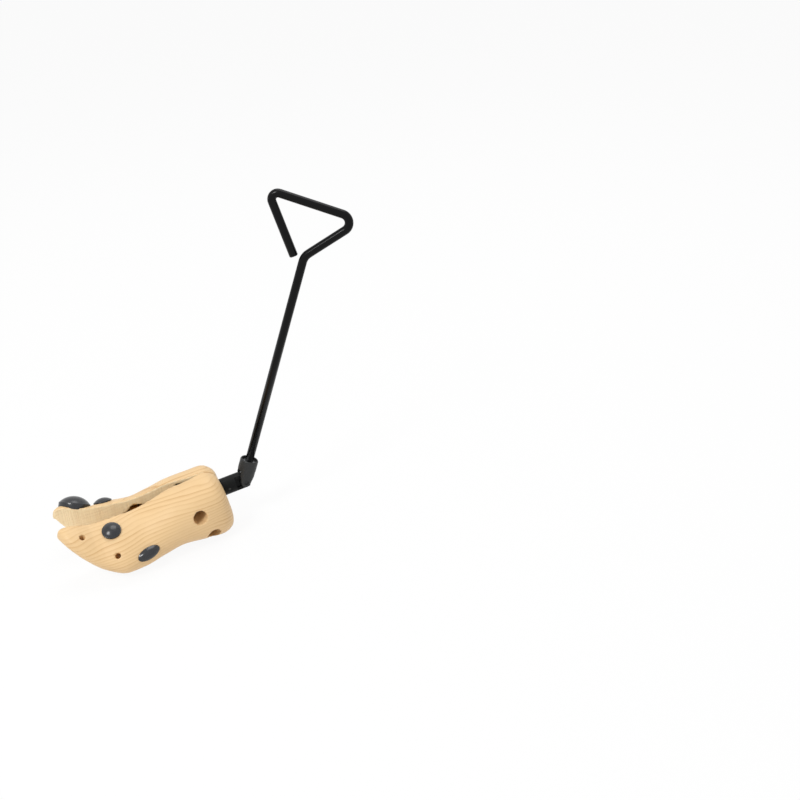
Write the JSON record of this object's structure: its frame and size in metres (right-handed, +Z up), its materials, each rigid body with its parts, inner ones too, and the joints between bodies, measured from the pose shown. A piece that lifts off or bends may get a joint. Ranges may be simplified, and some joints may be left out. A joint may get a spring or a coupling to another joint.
{
  "type": "shoe stretcher",
  "caption": "Wooden foot-shaped stretcher in two halves hinged at the heel, spread by a screw with a universal joint and a bent handle, with push-in spot plugs.",
  "frame": {"origin": "on the sole plane at the heel, on the heel hinge's axis between the two halves", "axes": "+Z up, the toe points along -X and the handle stands at +X, the left half of the last is on -Y"},
  "size_m": [0.3229, 0.1124, 0.3336],
  "materials": {
    "wood": "satin",
    "plug_black": "gloss",
    "rod_black": "gloss",
    "satin_black": "satin",
    "steel": "satin",
    "brass": "satin"
  },
  "bodies": {
    "heel_bearing": {"bearing_drum": "steel", "upper_clip": "satin_black", "lower_clip": "satin_black"},
    "left_last": {"left_half": "wood", "left_leaf": "steel", "left_bolt_upper": "satin_black", "left_bolt_lower": "satin_black", "left_cam": "steel", "left_cam_screw_front": "satin_black", "left_cam_screw_rear": "satin_black"},
    "right_last": {"right_half": "wood", "right_leaf": "steel", "right_bolt_upper": "satin_black", "right_bolt_lower": "satin_black", "right_cam": "steel", "right_cam_screw_front": "satin_black", "right_cam_screw_rear": "satin_black"},
    "screw": {"spindle": "steel", "spindle_fork": "rod_black", "fork_roll_pin": "satin_black", "thrust_washer": "brass", "spindle_collar": "satin_black", "collar_screw": "satin_black", "end_stop": "satin_black"},
    "nut": {"spreader_nut": "brass", "nut_pin_left": "steel", "nut_pin_right": "steel"},
    "cross": {"cross_block": "satin_black", "yoke_pin": "steel", "fork_pin_top": "steel", "fork_pin_bottom": "steel"},
    "handle": {"handle_yoke": "satin_black", "handle_rod": "rod_black", "rod_roll_pin": "satin_black"},
    "plug_left_top": {"left_top_plug": "plug_black"},
    "plug_left_side": {"left_side_plug": "plug_black"},
    "plug_right_top": {"right_top_plug": "plug_black"},
    "plug_bunion": {"bunion_plug": "plug_black"}
  },
  "joints": [
    {"name": "spindle_turn", "type": "hinge", "parent": "heel_bearing", "child": "screw", "pos_m": [0, 0, 0.04012], "axis": [-0.9903, 0, -0.1392], "range_deg": [-2520, 540]},
    {"name": "left_opening", "type": "hinge", "parent": "heel_bearing", "child": "left_last", "pos_m": [0, 0, 0.03], "axis": [0, 0, 1], "range_deg": [-7.01, 1.51]},
    {"name": "right_opening", "type": "hinge", "parent": "heel_bearing", "child": "right_last", "pos_m": [0, 0, 0.03], "axis": [0, 0, -1], "range_deg": [-7.01, 1.51]},
    {"name": "nut_travel", "type": "slide", "parent": "heel_bearing", "child": "nut", "axis": [-0.9903, 0, -0.1392], "range_m": [-0.01752, 0.00377]},
    {"name": "joint_sideways", "type": "hinge", "parent": "screw", "child": "cross", "pos_m": [0.043, 0, 0.04616], "axis": [-0.1392, 0, 0.9903], "range_deg": [-15, 15]},
    {"name": "handle_bend", "type": "hinge", "parent": "cross", "child": "handle", "pos_m": [0.043, 0, 0.04616], "axis": [0, 1, 0], "range_deg": [-4, 126]},
    {"name": "plug_left_top_pull", "type": "slide", "parent": "left_last", "child": "plug_left_top", "axis": [-0.0245, -0.4499, 0.8928], "range_m": [0, 0.014]},
    {"name": "plug_left_side_pull", "type": "slide", "parent": "left_last", "child": "plug_left_side", "axis": [0.1766, -0.877, 0.4468], "range_m": [0, 0.014]},
    {"name": "plug_right_top_pull", "type": "slide", "parent": "right_last", "child": "plug_right_top", "axis": [-0.0245, 0.4499, 0.8928], "range_m": [0, 0.014]},
    {"name": "plug_bunion_pull", "type": "slide", "parent": "right_last", "child": "plug_bunion", "axis": [0.3442, 0.4771, 0.8086], "range_m": [0, 0.014]}
  ],
  "couplings": [
    {"joint": "left_opening", "follows": "spindle_turn", "ratio": 0.0027778},
    {"joint": "right_opening", "follows": "spindle_turn", "ratio": 0.0027778},
    {"joint": "nut_travel", "follows": "spindle_turn", "m_per_rad": 0.00039789}
  ]
}
